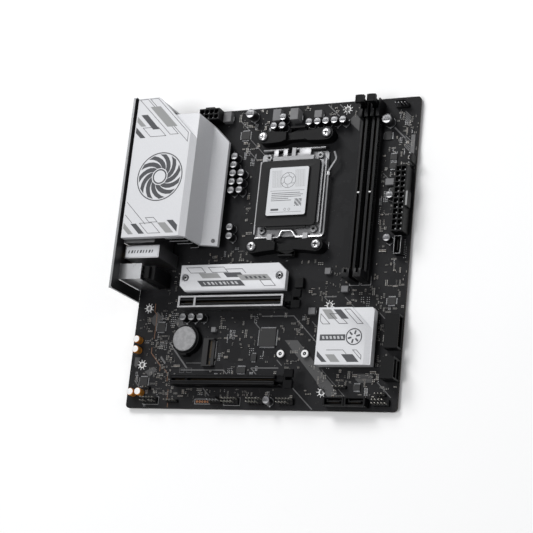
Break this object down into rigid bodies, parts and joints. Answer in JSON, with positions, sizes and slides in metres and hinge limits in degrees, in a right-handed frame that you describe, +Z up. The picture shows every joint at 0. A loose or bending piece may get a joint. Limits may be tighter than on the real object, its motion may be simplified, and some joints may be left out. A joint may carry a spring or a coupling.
{
  "type": "motherboard",
  "caption": "Black micro-ATX motherboard with silver heatsinks, a lever socket under a plastic cap, latched memory and expansion slots, rear ports and a coin battery",
  "frame": {"origin": "centre of the bounding box, on the plane the board rests on (underside of the socket backplate and solder tails)", "axes": "+Z up out of the component side; +Y towards the top edge (processor power socket); +X from the rear port edge towards the front edge"},
  "size_m": [0.2354, 0.2438, 0.0462],
  "materials": {
    "circuit_board": "satin black solder mask",
    "socket_steel": "bright nickel-plated stamped steel",
    "backplate_steel": "plain steel",
    "screw_steel": "plated steel",
    "black_plastic": "moulded black plastic",
    "slot_plastic": "moulded black plastic, slightly glossy",
    "power_plastic": "moulded black nylon",
    "cap_plastic": "dark grey moulded plastic",
    "slot_steel": "bright stamped steel",
    "silver_heatsink": "satin silver, printed graphics in greys",
    "rear_shield": "black painted steel",
    "port_metal": "bright plated steel",
    "jack_plastic": "black plastic",
    "chip_package": "moulded chip package",
    "thermal_pad": "soft silicone pad",
    "battery_steel": "nickel-plated steel"
  },
  "bodies": {
    "board": {"atx_power_socket": "power_plastic", "audio_header": "black_plastic", "audio_port_stack": "jack_plastic", "battery_holder": "black_plastic", "bracket_screw_1": "screw_steel", "bracket_screw_2": "screw_steel", "bracket_screw_3": "screw_steel", "bracket_screw_4": "screw_steel", "chipset": "chip_package", "chipset_heatsink": "silver_heatsink", "cooler_bracket_bottom": "black_plastic", "cooler_bracket_top": "black_plastic", "cpu_backplate": "backplate_steel", "cpu_power_socket": "power_plastic", "cpu_socket": "black_plastic", "dimm_slot_1": "slot_plastic", "dimm_slot_2": "slot_plastic", "front_panel_header": "black_plastic", "io_controller": "chip_package", "lan_port_stack": "port_metal", "m2_socket_1": "black_plastic", "m2_socket_2": "black_plastic", "m2_standoff_1": "screw_steel", "m2_standoff_2": "screw_steel", "m2_standoff_3": "screw_steel", "pcb": "circuit_board", "pcie_slot_1": "slot_plastic", "pcie_slot_2": "slot_plastic", "pcie_slot_shield": "slot_steel", "rear_io_shield": "rear_shield", "sata_port_1": "black_plastic", "sata_port_2": "black_plastic", "sata_stack": "black_plastic", "socket_frame": "socket_steel", "socket_screw_1": "screw_steel", "socket_screw_2": "screw_steel", "socket_screw_3": "screw_steel", "socket_screw_4": "screw_steel", "usb2_header": "black_plastic", "usb3_header": "black_plastic", "usb_c_header": "port_metal", "usb_port_stack_1": "port_metal", "usb_port_stack_2": "port_metal", "video_port_stack": "port_metal", "vrm_heatsink": "silver_heatsink", "vrm_thermal_pad": "thermal_pad", "wifi_module": "port_metal"},
    "load_plate": {"load_plate": "socket_steel"},
    "socket_cap": {"socket_cap": "cap_plastic"},
    "load_lever": {"load_lever": "socket_steel"},
    "dimm_latch_1": {"dimm_latch_1": "slot_plastic"},
    "dimm_latch_2": {"dimm_latch_2": "slot_plastic"},
    "pcie_latch_1": {"pcie_latch_1": "slot_plastic"},
    "pcie_latch_2": {"pcie_latch_2": "slot_plastic"},
    "battery": {"coin_battery": "battery_steel"},
    "m2_cooler": {"m2_heatsink": "silver_heatsink", "m2_screw_1": "screw_steel", "m2_screw_2": "screw_steel"},
    "m2_clip": {"m2_clip": "black_plastic"},
    "flash_button": {"flash_button": "jack_plastic"}
  },
  "joints": [
    {"name": "load_lever_hinge", "type": "hinge", "parent": "board", "child": "load_lever", "pos_m": [0.01835, 0.01192, 0.0076], "axis": [1, 0, 0], "range_deg": [0, 105]},
    {"name": "load_plate_hinge", "type": "hinge", "parent": "board", "child": "load_plate", "pos_m": [0.01835, 0.08342, 0.0084], "axis": [-1, 0, 0], "range_deg": [0, 95]},
    {"name": "socket_cap_lift", "type": "slide", "parent": "load_plate", "child": "socket_cap", "axis": [0, 0, 1], "range_m": [0, 0.02]},
    {"name": "dimm_latch_1_hinge", "type": "hinge", "parent": "board", "child": "dimm_latch_1", "pos_m": [0.07615, 0.11392, 0.008], "axis": [-1, 0, 0], "range_deg": [0, 28]},
    {"name": "dimm_latch_2_hinge", "type": "hinge", "parent": "board", "child": "dimm_latch_2", "pos_m": [0.08545, 0.11392, 0.008], "axis": [-1, 0, 0], "range_deg": [0, 28]},
    {"name": "pcie_latch_1_hinge", "type": "hinge", "parent": "board", "child": "pcie_latch_1", "pos_m": [0.02895, -0.04018, 0.0085], "axis": [0, 1, 0], "range_deg": [0, 20]},
    {"name": "pcie_latch_2_hinge", "type": "hinge", "parent": "board", "child": "pcie_latch_2", "pos_m": [0.02895, -0.10118, 0.0085], "axis": [0, 1, 0], "range_deg": [0, 20]},
    {"name": "battery_lift", "type": "slide", "parent": "board", "child": "battery", "axis": [0, 0, 1], "range_m": [0, 0.02]},
    {"name": "m2_cooler_lift", "type": "slide", "parent": "board", "child": "m2_cooler", "axis": [0, 0, 1], "range_m": [0, 0.025]},
    {"name": "m2_clip_turn", "type": "hinge", "parent": "board", "child": "m2_clip", "pos_m": [0.03255, -0.02468, 0.0043], "axis": [0, 0, 1], "range_deg": [0, 90]},
    {"name": "flash_button_press", "type": "slide", "parent": "board", "child": "flash_button", "axis": [1, 0, 0], "range_m": [0, 0.0008], "stiffness_N_per_m": 200}
  ]
}
